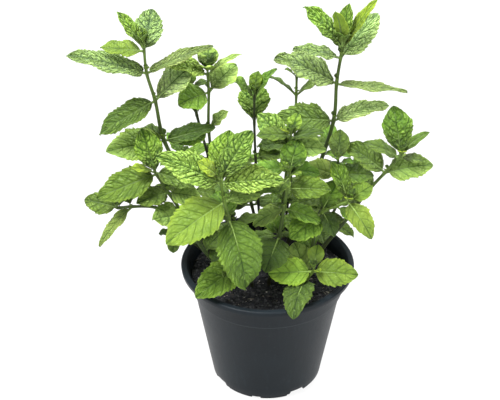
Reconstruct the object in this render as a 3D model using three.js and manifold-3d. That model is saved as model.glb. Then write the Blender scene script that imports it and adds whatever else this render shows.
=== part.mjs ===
// A young mint plant, many square stems with toothed leaves in pairs, growing in a plastic nursery pot.
// Millimetres, +Z up. The origin is the middle of the pot's underside, and the front looks towards -Y.
import * as THREE from "three";
import { mergeVertices } from "three/addons/utils/BufferGeometryUtils.js";
import Module from "manifold-3d";

const wasm = await Module();
wasm.setup();

// Driving dimensions of the pot
const POT_HEIGHT = 100;
const RIM_RADIUS = 65;
const RIM_INSIDE = 60.2;
const RIM_DEPTH = 4;
const COLLAR_TOP_RADIUS = 59.4;
const COLLAR_FOOT_RADIUS = 57;
const COLLAR_FOOT = 80;
const BODY_TOP_RADIUS = 55.5;
const BODY_FOOT_RADIUS = 43.1;
const BODY_FOOT = 9;
const BASE_RADIUS = 40.2;
const WALL = 1.3;
const FLOOR = 1.6;
const ROUND = 40;
const DRAINS = 8;
const DRAIN_WIDTH = 17;
const DRAIN_HEIGHT = 5;
const DRAIN_INSIDE = 32;
const DRAIN_TURN = -12;
const DRAIN_FLARE = 1.8;
const DRAIN_SLOPE = 3;
const SMALL_DRAIN = 0.45;
const EDGE = 0.8;

// Driving dimensions of the soil and of what stands in it
const GAP = 0.3;
const SOIL_TOP = 90;
const SOIL_RELIEF = 1.1;
const ROOT_DEPTH = 20;

// Driving dimensions of the stems and leaves
const STEM_TOP = 1.8;
const STEM_STEP = 17;
const COLLAR = 3;
const TIP_BUD = 2;
const BLADE = 0.75;
const STALK = 1.5;
const STALK_LENGTH = 2.8;
const STALK_ROOT = 0.8;
const SLIM = 0.56;
const ARCH = 0.05;
const FOLD = 16;
const TAPER = 0.88;
const GROWN_BASE = 0.55;
const YOUNG_BASE = 1;
const YOUNG_PITCH = 33;
const PAIR_RISE = 1.8;
const LARGE = 40;
const MIDDLE = 29;
const SMALL = 20;
const LARGE_TEETH = [0.25, 0.46, 0.66, 0.84];
const MIDDLE_TEETH = [0.28, 0.54, 0.79];
const SMALL_TEETH = [0.34, 0.68];
const TOOTH_OUT = 1.03;
const TOOTH_IN = 0.9;
const TOOTH_STEP = 0.02;
const SHOULDER = 0.05;
const CLEARANCE = 0.5;
const FREE_SHARE = 0.16;

const POT_PLASTIC = new THREE.MeshStandardMaterial({ color: 0x32383c, roughness: 0.55 });
const POTTING_SOIL = new THREE.MeshStandardMaterial({ color: 0x221c18, roughness: 1 });
const FOLIAGE = {
  bright: new THREE.MeshStandardMaterial({ color: 0x8cb83a, roughness: 0.6 }),
  green: new THREE.MeshStandardMaterial({ color: 0x6f9f45, roughness: 0.6 }),
  deep: new THREE.MeshStandardMaterial({ color: 0x4c7a34, roughness: 0.6 }),
};

const UPRIGHT = new THREE.Vector3(0, 0, 1);
const radians = THREE.MathUtils.degToRad;

// A leaf by its bearing from the stem (0 is +X, 90 is the back), its rise, its length and width, the lift
// of its right-hand edge and the height of its arch.
const leaf = (heading, pitch, length, width = SLIM * length, roll = 0, bow = ARCH * length) => {
  return { heading, pitch, length, width, roll, bow, plain: false };
};

// The two plain leaves that face each other across a node deeper in the plant.
const pair = (heading, pitch, length) => [
  { ...leaf(heading, pitch, length), plain: true },
  { ...leaf(heading + 180, pitch, length * 0.94), plain: true },
];

// Every shoot as its nodes from the soil up: x, y, z and the leaves that grow there.
const SHOOTS = [
  {
    name: "shoot_front_centre",
    tone: "bright",
    thickness: 3.4,
    nodes: [
      [-12, -18, 90],
      [-20, -31, 118, leaf(218, -15, 42, 26, 26, 2), ...pair(60, 5, 24)],
      [-25, -37, 142, ...pair(110, 0, 26)],
      [-28, -41, 164, leaf(298, -60, 51, 34, -6, 6), leaf(110, 10, 30, 20)],
      [-31, -41, 178, leaf(208, -24, 50, 32, 30, 2), leaf(20, 5, 30, 18, -10)],
      [
        -33, -40, 192, leaf(180, 27, 49, 27, 28, 1.5), leaf(354, 8, 44, 24, -22, 1.5),
        leaf(72, 56, 36, 25, -6, 1), leaf(22, 52, 42, 23, -16, 1.5), leaf(190, 46, 22, 14, 28),
      ],
    ],
  },
  {
    name: "shoot_left_tall",
    tone: "green",
    thickness: 3.6,
    nodes: [
      [-25, 6, 90],
      [-40, 9, 124, ...pair(80, 0, 30)],
      [-56, 11, 156, ...pair(160, -8, 32)],
      [-75, 12, 197, leaf(6, 15, 38, 17, -20, 0), leaf(200, 0, 43, 28, 30, 0.5), leaf(152, -4, 28, 18, 10)],
      [-80, 9, 231, leaf(25, 37, 37, 24, -22, 1), leaf(201, -23, 46, 22, 20, 0.5)],
      [-85, 8, 253, leaf(190, 19, 57, 24, 14, 0.5), leaf(10, 21, 50, 14, -12, 1)],
      [
        -86, 8, 270, leaf(186, 9, 30, 17, 16, -0.5), leaf(82, 32, 35, 22, -6, 0.5), leaf(163, 55, 31, 12, 18, 0.5),
        leaf(120, 74, 15, 8),
      ],
    ],
  },
  {
    name: "shoot_right_tall",
    tone: "green",
    thickness: 3.6,
    nodes: [
      [14, 30, 90],
      [23, 28, 120, ...pair(10, -5, 28)],
      [31, 25, 146, ...pair(100, 5, 28)],
      [47, 20, 209, leaf(10, 13, 42, 18, -12, 2.5), leaf(192, 9, 44, 26, 30, 1)],
      [48, 18, 240, leaf(184, 27, 49, 30, 18, 1.5), leaf(354, -3, 50, 17, 4, -1)],
      [50, 16, 261, leaf(188, 15, 35, 19, 4, 0.5), leaf(44, 31, 44, 24, -18, 0.5)],
      [
        51, 16, 268, leaf(178, 49, 41, 21, 20, 1), leaf(6, 59, 42, 12, -14, 0.5), leaf(62, 76, 30, 12),
        leaf(238, 68, 33, 12),
      ],
    ],
  },
  {
    name: "shoot_front_right_low",
    tone: "bright",
    thickness: 2.8,
    nodes: [
      [22, -26, 90],
      [28, -33, 106, leaf(253, -13, 38, 23, 4, 5), leaf(112, 40, 30, 21)],
      [
        32, -35, 115, leaf(182, -2, 32, 22, 42, 1), leaf(354, -1, 33, 22, -42, 1), leaf(76, 44, 19, 13),
        leaf(300, 24, 9, 6),
      ],
    ],
  },
  {
    name: "shoot_centre",
    tone: "bright",
    thickness: 3.2,
    nodes: [
      [1, -15, 90],
      [8, -22, 137, leaf(246, -30, 30, 26, 14, 1), leaf(110, 15, 26, 17)],
      [11, -24, 162, leaf(352, -20, 28, 19, -10), leaf(184, -32, 26, 18, 14)],
      [13, -25, 179, leaf(350, 5, 31, 20, -28, 1), leaf(200, 10, 24, 15, 14)],
      [14, -25, 188, leaf(74, 50, 28, 20, -8), leaf(246, -4, 18, 12), leaf(318, 34, 12, 8), leaf(160, 50, 12, 8)],
    ],
  },
  {
    name: "shoot_centre_back",
    tone: "green",
    thickness: 3.2,
    nodes: [
      [6, 4, 90],
      [8, 1, 122, ...pair(10, 0, 26)],
      [11, -3, 154, ...pair(90, 0, 26)],
      [13, -7, 184, leaf(352, -4, 24, 17, -12), leaf(184, -2, 28, 18, 12)],
      [15, -10, 203, leaf(350, 6, 26, 18, -24), leaf(152, 49, 34, 20, 22, 1)],
      [
        15, -10, 211, leaf(62, 52, 19, 12), leaf(350, 18, 25, 11, -10), leaf(184, 4, 24, 15, 14),
        leaf(214, 46, 12, 8),
      ],
    ],
  },
  {
    name: "shoot_left_low",
    tone: "green",
    thickness: 3,
    nodes: [
      [-30, -4, 90],
      [-46, -6, 118, leaf(60, 5, 26, 17)],
      [-61, -8, 146, leaf(209, -4, 30, 24, 30, 1), leaf(30, 5, 26, 17)],
      [-72, -9, 166, leaf(208, -4, 25, 17, 26, 1), leaf(352, -6, 24, 18, -34)],
      [
        -80, -10, 182, leaf(190, -19, 46, 26, 34, 0.3), leaf(128, 55, 34, 21, 20), leaf(356, -20, 30, 18, -24),
        leaf(204, 30, 21, 11, 12),
      ],
    ],
  },
  {
    name: "shoot_left_trailing",
    tone: "green",
    thickness: 2.4,
    nodes: [
      [-28, -15, 90],
      [-46, -17, 120, leaf(84, 10, 22, 15)],
      [-62, -16, 143, ...pair(120, -10, 22)],
      [-79, -13, 155, leaf(95, 25, 20, 14)],
      [-99, -9, 154, leaf(199, -48, 39, 13, 10, 1.5), leaf(118, 26, 15, 12)],
      [-109, -6, 151, leaf(168, 9, 26, 18, 40, 1), leaf(70, 30, 14, 9)],
    ],
  },
  {
    name: "shoot_right_leaning",
    tone: "green",
    thickness: 3,
    nodes: [
      [28, 2, 90],
      [42, 2, 112, leaf(100, 0, 24, 15)],
      [58, 1, 137, leaf(200, 5, 26, 17)],
      [72, 0, 161, leaf(100, 0, 26, 16)],
      [84, -1, 178, leaf(158, 29, 36, 21, 18), leaf(2, 10, 35, 23, -28, 1.5)],
      [
        93, -2, 191, leaf(172, 23, 28, 14, 14), leaf(354, -6, 18, 12, -8), leaf(108, 61, 36, 24, 4),
        leaf(10, 42, 27, 8, -10, 3), leaf(262, 40, 10, 7),
      ],
    ],
  },
  {
    name: "shoot_right_middle",
    tone: "bright",
    thickness: 2.8,
    nodes: [
      [27, -12, 90],
      [32, -15, 120, leaf(110, 10, 26, 18)],
      [38, -16, 153, leaf(216, -22, 30, 24, 32, 1), leaf(58, 26, 28, 20, -10), leaf(304, -46, 21, 16)],
      [49, -16, 159, leaf(334, -36, 20, 13)],
      [
        57, -15, 162, leaf(304, -29, 33, 18, -12, 2), leaf(134, 58, 31, 17), leaf(30, 22, 20, 15, -24),
        leaf(240, 40, 10, 7),
      ],
    ],
  },
  {
    name: "shoot_right_upright",
    tone: "deep",
    thickness: 2.8,
    nodes: [
      [24, 12, 90],
      [34, 10, 122, leaf(150, 0, 28, 20)],
      [43, 6, 152, leaf(10, -14, 26, 18, -10), leaf(196, -4, 28, 20, 10)],
      [49, 2, 174, leaf(4, -2, 28, 20, -24), leaf(178, 18, 24, 18, 26)],
      [50, 1, 185, leaf(82, 58, 24, 16), leaf(8, 0, 12, 8), leaf(230, 40, 10, 7)],
    ],
  },
  {
    name: "shoot_back_left_tall",
    tone: "green",
    thickness: 2.8,
    nodes: [
      [-10, 15, 90],
      [-25, 17, 124, ...pair(10, 0, 26)],
      [-38, 19, 160, ...pair(100, 5, 28)],
      [-43, 20, 201, leaf(16, 44, 20, 13, -8), leaf(196, -18, 24, 18, 24)],
      [-42.5, 20, 232, leaf(204, -12, 24, 23, 30, 1), leaf(32, 34, 28, 24, -14)],
      [
        -43, 20, 246, leaf(196, 45, 32, 20, 14), leaf(14, 30, 28, 8, -4), leaf(86, 60, 19, 16),
        leaf(262, 40, 16, 13),
      ],
    ],
  },
  {
    name: "shoot_back_left_dark",
    tone: "deep",
    thickness: 2.2,
    nodes: [
      [-22, 25, 90],
      [-35, 29, 132, ...pair(95, 5, 26)],
      [-44, 31, 172, ...pair(190, -10, 26)],
      [-52, 31, 208, leaf(92, 34, 16, 11)],
      [-56, 31, 228, leaf(180, 10, 14, 10), leaf(20, 24, 14, 9), leaf(66, 60, 11, 8)],
    ],
  },
  {
    name: "shoot_back_centre_dark",
    tone: "green",
    thickness: 2.2,
    nodes: [
      [-4, 35, 90],
      [-7, 38, 130, ...pair(0, 0, 26)],
      [-9, 40, 166, leaf(200, 0, 26, 18, 12), leaf(20, 0, 26, 18, -12)],
      [-10, 41, 196, leaf(92, 50, 30, 25)],
      [-10, 41, 217, leaf(190, 44, 26, 16, 10), leaf(4, 56, 28, 12, -10), leaf(92, 66, 18, 12, 14)],
    ],
  },
  {
    name: "shoot_back_centre_pale",
    tone: "green",
    thickness: 2.2,
    nodes: [
      [13, 44, 90],
      [17, 48, 132, ...pair(60, 0, 26)],
      [20, 50, 172, leaf(184, 0, 28, 20, 12), leaf(4, 2, 26, 18, -12)],
      [21, 51, 214, leaf(187, 39, 26, 11, -6), leaf(352, 36, 27, 13, -8)],
      [21, 51, 229, leaf(200, 62, 12, 8), leaf(20, 40, 14, 9), leaf(110, 64, 13, 8)],
    ],
  },
  {
    name: "shoot_left_short",
    tone: "deep",
    thickness: 2,
    nodes: [
      [-38, 6, 90],
      [-50, 5, 108, leaf(70, 10, 22, 15)],
      [-69, -1, 126, leaf(262, -56, 15, 10), leaf(176, 8, 12, 10), leaf(80, 20, 16, 11)],
    ],
  },
  {
    name: "shoot_front_short",
    tone: "deep",
    thickness: 2,
    nodes: [
      [-27, -26, 90],
      [-31, -27, 104, leaf(124, 32, 26, 16, 10), leaf(300, 4, 14, 10)],
    ],
  },
  {
    name: "shoot_rear_left",
    tone: "deep",
    thickness: 2.8,
    nodes: [
      [-30, 38, 90],
      [-42, 47, 116, ...pair(30, 0, 28)],
      [-54, 56, 138, ...pair(125, 0, 30)],
      [-63, 62, 152, ...pair(40, 12, 26), leaf(140, 44, 24), leaf(310, 50, 16)],
    ],
  },
  {
    name: "shoot_rear_centre",
    tone: "deep",
    thickness: 2.8,
    nodes: [
      [-6, 47, 90],
      [-12, 61, 112, ...pair(10, -6, 28)],
      [-18, 72, 130, ...pair(95, -4, 30)],
      [-22, 78, 140, ...pair(5, 6, 26), leaf(100, 24, 20), leaf(280, 50, 14)],
    ],
  },
  {
    name: "shoot_rear_right",
    tone: "deep",
    thickness: 2.8,
    nodes: [
      [19, 44, 90],
      [29, 57, 113, ...pair(150, -6, 28)],
      [38, 70, 134, ...pair(60, -4, 30)],
      [44, 78, 148, ...pair(150, 12, 26), leaf(64, 44, 24), leaf(250, 54, 16)],
    ],
  },
  {
    name: "shoot_side_right",
    tone: "deep",
    thickness: 2.6,
    nodes: [
      [38, 32, 90],
      [48, 42, 108, ...pair(140, -8, 26)],
      [58, 52, 126, ...pair(50, -4, 26)],
      [66, 60, 138, ...pair(140, 14, 22), leaf(50, 42, 22), leaf(230, 52, 15)],
    ],
  },
];

// A closed three.js geometry as a solid that can be cut and joined.
function solidOf(geometry) {
  geometry.deleteAttribute("normal");
  geometry.deleteAttribute("uv");
  const merged = mergeVertices(geometry);
  return new wasm.Manifold(
    new wasm.Mesh({
      numProp: 3,
      vertProperties: merged.attributes.position.array,
      triVerts: new Uint32Array(merged.index.array),
    }),
  );
}

function geometryOf(points, faces) {
  const flat = new Float32Array(points.flatMap((p) => [p.x, p.y, p.z]));
  return new THREE.BufferGeometry()
    .setAttribute("position", new THREE.BufferAttribute(flat, 3))
    .setIndex(faces.flat());
}

function meshOf(name, solid, material) {
  const { numProp, numVert, vertProperties, triVerts } = solid.getMesh();
  const flat = new Float32Array(numVert * 3);
  for (let i = 0; i < numVert; i++) flat.set(vertProperties.subarray(i * numProp, i * numProp + 3), i * 3);
  const geometry = new THREE.BufferGeometry()
    .setAttribute("position", new THREE.BufferAttribute(flat, 3))
    .setIndex([...triVerts]);
  geometry.computeVertexNormals();
  const mesh = new THREE.Mesh(geometry, material);
  mesh.name = name;
  return mesh;
}

// A ring or bowl turned round the pot's axis from its outline, given from the axis round to the axis.
function turned(outline) {
  const points = outline.map(([radius, z]) => new THREE.Vector2(radius, z));
  return new THREE.LatheGeometry(points, ROUND).rotateX(Math.PI / 2);
}

const wallRadius = (z) => {
  if (z > COLLAR_FOOT) {
    const share = (z - COLLAR_FOOT) / (POT_HEIGHT - RIM_DEPTH - COLLAR_FOOT);
    return THREE.MathUtils.lerp(COLLAR_FOOT_RADIUS, COLLAR_TOP_RADIUS, share);
  }
  return THREE.MathUtils.mapLinear(z, BODY_FOOT, COLLAR_FOOT, BODY_FOOT_RADIUS, BODY_TOP_RADIUS);
};

// The pot: a thin moulded wall with a broad rim, a collar that steps out, a rounded foot, and wide and small
// drainage notches by turns.
function pot() {
  const underRim = POT_HEIGHT - RIM_DEPTH;
  const outside = [
    [0, 0],
    [BASE_RADIUS, 0],
    [BASE_RADIUS + DRAIN_FLARE, DRAIN_FLARE],
    [BODY_FOOT_RADIUS, BODY_FOOT],
    [BODY_TOP_RADIUS, COLLAR_FOOT - EDGE],
    [COLLAR_FOOT_RADIUS, COLLAR_FOOT],
    [COLLAR_TOP_RADIUS, underRim],
    [RIM_RADIUS - EDGE / 2, underRim],
    [RIM_RADIUS, POT_HEIGHT - EDGE],
    [RIM_RADIUS - EDGE, POT_HEIGHT],
  ];
  const inside = [
    [RIM_INSIDE + EDGE, POT_HEIGHT],
    [RIM_INSIDE, POT_HEIGHT - EDGE],
    [COLLAR_TOP_RADIUS - WALL, underRim - EDGE],
    [COLLAR_FOOT_RADIUS - WALL, COLLAR_FOOT],
    [BODY_TOP_RADIUS - WALL, COLLAR_FOOT - 2 * EDGE],
    [BODY_FOOT_RADIUS - WALL, BODY_FOOT],
    [BASE_RADIUS - EDGE, FLOOR],
    [0, FLOOR],
  ];
  let body = solidOf(turned([...outside, ...inside]));
  const reach = RIM_RADIUS - DRAIN_INSIDE;
  for (let i = 0; i < DRAINS; i++) {
    const size = i % 2 === 1 ? 1 : SMALL_DRAIN;
    const arch = new THREE.Shape();
    arch.moveTo((-size * DRAIN_WIDTH) / 2, -1);
    arch.lineTo((size * DRAIN_WIDTH) / 2, -1);
    arch.lineTo(size * (DRAIN_WIDTH / 2 - DRAIN_SLOPE), size * DRAIN_HEIGHT);
    arch.lineTo(size * (DRAIN_SLOPE - DRAIN_WIDTH / 2), size * DRAIN_HEIGHT);
    const slot = new THREE.ExtrudeGeometry(arch, { depth: reach, bevelEnabled: false })
      .rotateX(Math.PI / 2)
      .translate(0, -DRAIN_INSIDE, 0)
      .rotateZ(radians(DRAIN_TURN + (i * 360) / DRAINS));
    body = body.subtract(solidOf(slot));
  }
  return body;
}

// Height of the crumbly soil over its mean level.
const crumble = (x, y) => {
  const hummocks = Math.sin(x * 0.21 + 1.3) * Math.cos(y * 0.17) + 0.7 * Math.sin(x * 0.11 - y * 0.26);
  const clods = 0.5 * Math.sin(x * 0.6 + y * 0.35) * Math.sin(y * 0.55 - 0.8);
  return SOIL_RELIEF * (hummocks + clods);
};

// The soil fills the pot to a centimetre under the rim, with an uneven top.
function soil() {
  const reach = wallRadius(SOIL_TOP) - WALL - GAP;
  const top = [1, 0.8, 0.6, 0.4, 0.2, 0].map((share) => share * reach);
  const geometry = turned([
    [0, FLOOR + GAP],
    [BASE_RADIUS - 3, FLOOR + GAP],
    [BODY_FOOT_RADIUS - WALL - GAP - 0.5, BODY_FOOT],
    [BODY_TOP_RADIUS - WALL - GAP, COLLAR_FOOT - 2 * EDGE],
    ...top.map((radius) => [radius, SOIL_TOP]),
  ]);
  const place = geometry.attributes.position;
  for (let i = 0; i < place.count; i++) {
    const [x, y, z] = [place.getX(i), place.getY(i), place.getZ(i)];
    if (z > SOIL_TOP - 1) place.setZ(i, z + crumble(x, y));
  }
  return solidOf(geometry);
}

// Mint stems are square. A stem stands upright in the soil and then runs on through its nodes, narrowing
// to the tip. The spare makes room all round it.
function squareStem({ nodes, thickness }, spare = 0) {
  const spots = nodes.map(([x, y, z]) => new THREE.Vector3(x, y, z));
  const line = new THREE.CatmullRomCurve3(spots);
  const [x, y] = nodes[0];
  const rings = [{ centre: new THREE.Vector3(x, y, SOIL_TOP - ROOT_DEPTH - spare), along: UPRIGHT, share: 0 }];
  rings.push({ centre: new THREE.Vector3(x, y, SOIL_TOP + COLLAR), along: UPRIGHT, share: 0.05 });
  for (let i = 1; i < spots.length && !spare; i++) {
    const pieces = Math.max(1, Math.round(spots[i].distanceTo(spots[i - 1]) / STEM_STEP));
    for (let k = i > 1 ? 1 : pieces; k <= pieces; k++) {
      const share = (i - 1 + k / pieces) / (spots.length - 1);
      rings.push({ centre: line.getPoint(share), along: line.getTangent(share), share });
    }
  }
  if (!spare) {
    const { centre, along } = rings.at(-1);
    const rise = TIP_BUD + PAIR_RISE * (nodes.at(-1).length / 2 - 2.5);
    rings.push({ centre: centre.clone().addScaledVector(along, rise), along, share: 1.3 });
  }
  const points = [];
  for (const { centre, along, share } of rings) {
    const side = THREE.MathUtils.lerp(thickness, STEM_TOP, share) / 2 + spare;
    const right = new THREE.Vector3(0, 1, 0).cross(along).normalize();
    const back = along.clone().cross(right);
    for (const [a, b] of [[1, 1], [-1, 1], [-1, -1], [1, -1]]) {
      points.push(centre.clone().addScaledVector(right, a * side).addScaledVector(back, b * side));
    }
  }
  const last = points.length - 4;
  const faces = [[2, 1, 0], [3, 2, 0], [last, last + 1, last + 2], [last, last + 2, last + 3]];
  for (let ring = 0; ring < last; ring += 4) {
    for (let k = 0; k < 4; k++) {
      const [a, b] = [ring + k, ring + ((k + 1) % 4)];
      faces.push([a, b, b + 4], [a, b + 4, a + 4]);
    }
  }
  return solidOf(geometryOf(points, faces));
}

// Young leaves stand steep and are pointed at both ends. Grown ones are round at the base.
const isYoung = ({ pitch, length }) => pitch > YOUNG_PITCH || length < SMALL;

// Half the width of a blade that is one wide, at a share of its length.
function halfWidth(share, base) {
  const widest = base / (base + TAPER);
  return 0.5 * (share / widest) ** base * ((1 - share) / (1 - widest)) ** TAPER;
}

// The margin of one side as [share of the length, distance from the midrib, sharp], from the stem to the tip.
function marginOf(shape) {
  const { length, width } = shape;
  const start = STALK_LENGTH / length;
  const blade = (share) => start + (1 - start) * share;
  const base = isYoung(shape) ? YOUNG_BASE : GROWN_BASE;
  const out = (share, factor = 1) => width * factor * halfWidth(share, base);
  const teeth = length >= LARGE ? LARGE_TEETH : length >= MIDDLE ? MIDDLE_TEETH : SMALL_TEETH;
  const rows = [[start, STALK / 2, false]];
  if (!isYoung(shape)) rows.push([blade(SHOULDER), out(SHOULDER), false]);
  for (const share of teeth) {
    rows.push([blade(share), out(share, TOOTH_OUT), true]);
    rows.push([blade(share + TOOTH_STEP), out(share, TOOTH_IN), false]);
  }
  return rows;
}

// One leaf: two flat halves folded up along an arched midrib, with teeth that point to the tip. A probe
// is the same leaf grown all round by the clearance, from a share of its length on.
function leafBlade(shape, base, probeFrom = -1) {
  const probe = probeFrom >= 0;
  const { heading, pitch, length, roll, bow } = shape;
  const [h, p, r, fold] = [heading, pitch, roll, FOLD].map(radians);
  const along = new THREE.Vector3(Math.cos(h) * Math.cos(p), Math.sin(h) * Math.cos(p), Math.sin(p));
  const level = new THREE.Vector3(Math.sin(h), -Math.cos(h), 0);
  const upright = level.clone().cross(along);
  const right = level.clone().multiplyScalar(Math.cos(r)).addScaledVector(upright, Math.sin(r));
  const up = upright.multiplyScalar(Math.cos(r)).addScaledVector(level, -Math.sin(r));
  const grow = probe ? CLEARANCE : 0;
  const half = BLADE / 2 + grow;
  const points = [];
  const add = (share, out, sharp) => {
    const slope = (4 * bow * (1 - 2 * share)) / length;
    const face = up.clone().addScaledVector(along, -slope).normalize();
    const middle = base.clone().addScaledVector(along, length * share);
    middle.addScaledVector(up, 4 * bow * share * (1 - share)).addScaledVector(right, out * Math.cos(fold));
    middle.addScaledVector(face, Math.abs(out) * Math.sin(fold));
    const thin = sharp && !probe;
    const top = points.push(middle.clone().addScaledVector(face, thin ? 0 : half)) - 1;
    const under = thin ? top : points.push(middle.addScaledVector(face, -half)) - 1;
    return { share, top, under };
  };
  const rows = marginOf(shape).filter(([share]) => share >= probeFrom);
  const stations = [rows[0][0], ...(length >= MIDDLE ? [0.38, 0.7] : [0.5])];
  const rib = stations.map((share) => add(share, 0, false));
  if (!probe) rib.unshift(add(-STALK_ROOT / length, 0, true));
  rib.push(add(1, 0, true));
  const faces = [];
  for (const side of [1, -1]) {
    const put = (a, b, c) => {
      if (a !== b && b !== c && c !== a) faces.push(side > 0 ? [a, b, c] : [c, b, a]);
    };
    const margin = rows.map(([share, out, sharp]) => add(share, side * (out + grow), sharp));
    margin.push(rib.at(-1));
    if (!probe) margin.unshift(rib[0]);
    let [i, j] = [0, 0];
    while (i < rib.length - 1 || j < margin.length - 1) {
      const ribNext = j === margin.length - 1 || (i < rib.length - 1 && rib[i + 1].share < margin[j + 1].share);
      const next = ribNext ? rib[i + 1] : margin[j + 1];
      put(rib[i].top, margin[j].top, next.top);
      put(next.under, margin[j].under, rib[i].under);
      if (ribNext) i += 1;
      else j += 1;
    }
    margin.slice(1).forEach((b, k) => {
      put(margin[k].under, b.under, b.top);
      put(margin[k].under, b.top, margin[k].top);
    });
    put(rib[0].under, margin[0].under, margin[0].top);
    put(rib[0].under, margin[0].top, rib[0].top);
  }
  return solidOf(geometryOf(points, faces));
}

// Small turns that a leaf may take to clear its neighbours, the slightest first.
const TURNS = [];
for (const scale of [1, 0.93, 0.85, 0.76]) {
  for (const yaw of [0, 7, -7, 14, -14, 24, -24]) {
    for (const lift of [0, 6, -6, 13, -13, 22, -22]) {
      for (const tilt of [0, 14, -14, 30, -30]) {
        const cost = Math.abs(yaw) / 8 + Math.abs(lift) / 7 + Math.abs(tilt) / 12 + (1 - scale) * 22;
        TURNS.push({ scale, yaw, lift, tilt, cost });
      }
    }
  }
}
TURNS.sort((a, b) => a.cost - b.cost);

const turnedLeaf = (shape, { scale, yaw, lift, tilt }) => {
  const { heading, pitch, roll, length, width, bow } = shape;
  const [l, w, b] = [length * scale, width * scale, bow * scale];
  return { ...shape, heading: heading + yaw, pitch: pitch + lift, roll: roll + tilt, length: l, width: w, bow: b };
};

const boxesMeet = (a, b) => [0, 1, 2].every((k) => a.min[k] < b.max[k] && b.min[k] < a.max[k]);

// True where the leaf stays off all that stands already. Near its root it may touch its own shoot.
function isClear(shape, base, owner, standing) {
  const whole = leafBlade(shape, base, 0);
  const outer = leafBlade(shape, base, FREE_SHARE);
  const [wholeBox, outerBox] = [whole.boundingBox(), outer.boundingBox()];
  const hit = standing.some((piece) => {
    const own = piece.owner === owner;
    if (!boxesMeet(own ? outerBox : wholeBox, piece.box)) return false;
    const shared = (own ? outer : whole).intersect(piece.solid);
    const empty = shared.isEmpty();
    shared.delete();
    return !empty;
  });
  whole.delete();
  outer.delete();
  return !hit;
}

const potSolid = pot();
let soilSolid = soil();
for (const shoot of SHOOTS) soilSolid = soilSolid.subtract(squareStem(shoot, GAP));

const standing = [];
const stand = (owner, solid) => standing.push({ owner, solid, box: solid.boundingBox() });
stand("pot", potSolid);
stand("soil", soilSolid);
for (const shoot of SHOOTS) {
  shoot.solid = squareStem(shoot);
  stand(shoot.name, shoot.solid);
}

// The leaves that show are placed before the plain ones, and each shoot's upper leaves before its lower ones.
for (const plain of [false, true]) {
  for (const shoot of SHOOTS) {
    for (let i = shoot.nodes.length - 1; i > 0; i--) {
      const [below, node] = [shoot.nodes[i - 1], shoot.nodes[i]].map(([x, y, z]) => new THREE.Vector3(x, y, z));
      const climb = node.clone().sub(below).normalize();
      for (const [index, shape] of shoot.nodes[i].slice(3).entries()) {
        if (shape.plain !== plain) continue;
        const base = node.clone().addScaledVector(climb, PAIR_RISE * Math.floor(index / 2));
        const turn = TURNS.find((one) => isClear(turnedLeaf(shape, one), base, shoot.name, standing));
        if (!turn) continue;
        const blade = leafBlade(turnedLeaf(shape, turn), base);
        shoot.solid = shoot.solid.add(blade);
        stand(shoot.name, blade);
      }
    }
  }
}

const plant = new THREE.Group();
plant.add(meshOf("pot", potSolid, POT_PLASTIC));
plant.add(meshOf("potting_soil", soilSolid, POTTING_SOIL));
for (const shoot of SHOOTS) plant.add(meshOf(shoot.name, shoot.solid, FOLIAGE[shoot.tone]));

export default plant;
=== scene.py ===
import math

import bmesh
import bpy
import numpy as np
from mathutils import Matrix, Vector, noise


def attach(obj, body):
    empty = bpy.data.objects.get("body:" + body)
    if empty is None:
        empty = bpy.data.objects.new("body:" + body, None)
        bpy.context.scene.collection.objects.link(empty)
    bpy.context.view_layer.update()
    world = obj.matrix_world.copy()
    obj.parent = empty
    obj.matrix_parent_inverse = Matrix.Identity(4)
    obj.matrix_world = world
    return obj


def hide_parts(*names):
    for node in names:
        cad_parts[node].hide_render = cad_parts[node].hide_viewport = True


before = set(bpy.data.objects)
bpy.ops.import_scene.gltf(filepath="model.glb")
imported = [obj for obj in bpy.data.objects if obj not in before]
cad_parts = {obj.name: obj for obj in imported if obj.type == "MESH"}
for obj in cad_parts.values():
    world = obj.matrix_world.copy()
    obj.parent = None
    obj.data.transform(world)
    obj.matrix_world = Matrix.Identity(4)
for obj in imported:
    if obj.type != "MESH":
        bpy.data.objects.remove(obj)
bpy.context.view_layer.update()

# The nursery pot: one thin moulding of anthracite polypropylene with an overhanging rim, a collar that steps
# out, a tapered body and eight drainage notches round the foot. Its outline is turned up from the base disc,
# over the rim and down inside to the floor.
MM = 0.001
POT_HEIGHT = 100
RIM_RADIUS = 65
RIM_INSIDE = 60.2
RIM_DEPTH = 4
COLLAR_TOP_RADIUS = 59.4
COLLAR_FOOT_RADIUS = 57
COLLAR_FOOT = 80
BODY_TOP_RADIUS = 55.5
BODY_FOOT_RADIUS = 43.1
BODY_FOOT = 9
BASE_RADIUS = 40.2
WALL = 1.3
FLOOR = 1.6
POT_SIDES = 160
DRAINS = 8
DRAIN_WIDTH = 17
DRAIN_HEIGHT = 5
DRAIN_INSIDE = 32
DRAIN_TURN = -12
DRAIN_FLARE = 1.8
DRAIN_SLOPE = 3
SMALL_DRAIN = 0.45
EDGE = 0.8
CORNER = 0.45
ROUNDED_OVER = math.radians(18)
FACES_UP = 0.9


class Wire:
    """A node's output that adds Math nodes where it is used in an expression."""

    def __init__(self, finish, socket):
        self.finish, self.socket = finish, socket

    def __add__(self, other):
        return self.finish.math("ADD", self, other)

    def __sub__(self, other):
        return self.finish.math("SUBTRACT", self, other)

    def __rsub__(self, other):
        return self.finish.math("SUBTRACT", other, self)

    def __mul__(self, other):
        return self.finish.math("MULTIPLY", self, other)

    def __abs__(self):
        return self.finish.math("ABSOLUTE", self)

    __radd__, __rmul__ = __add__, __mul__


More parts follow.
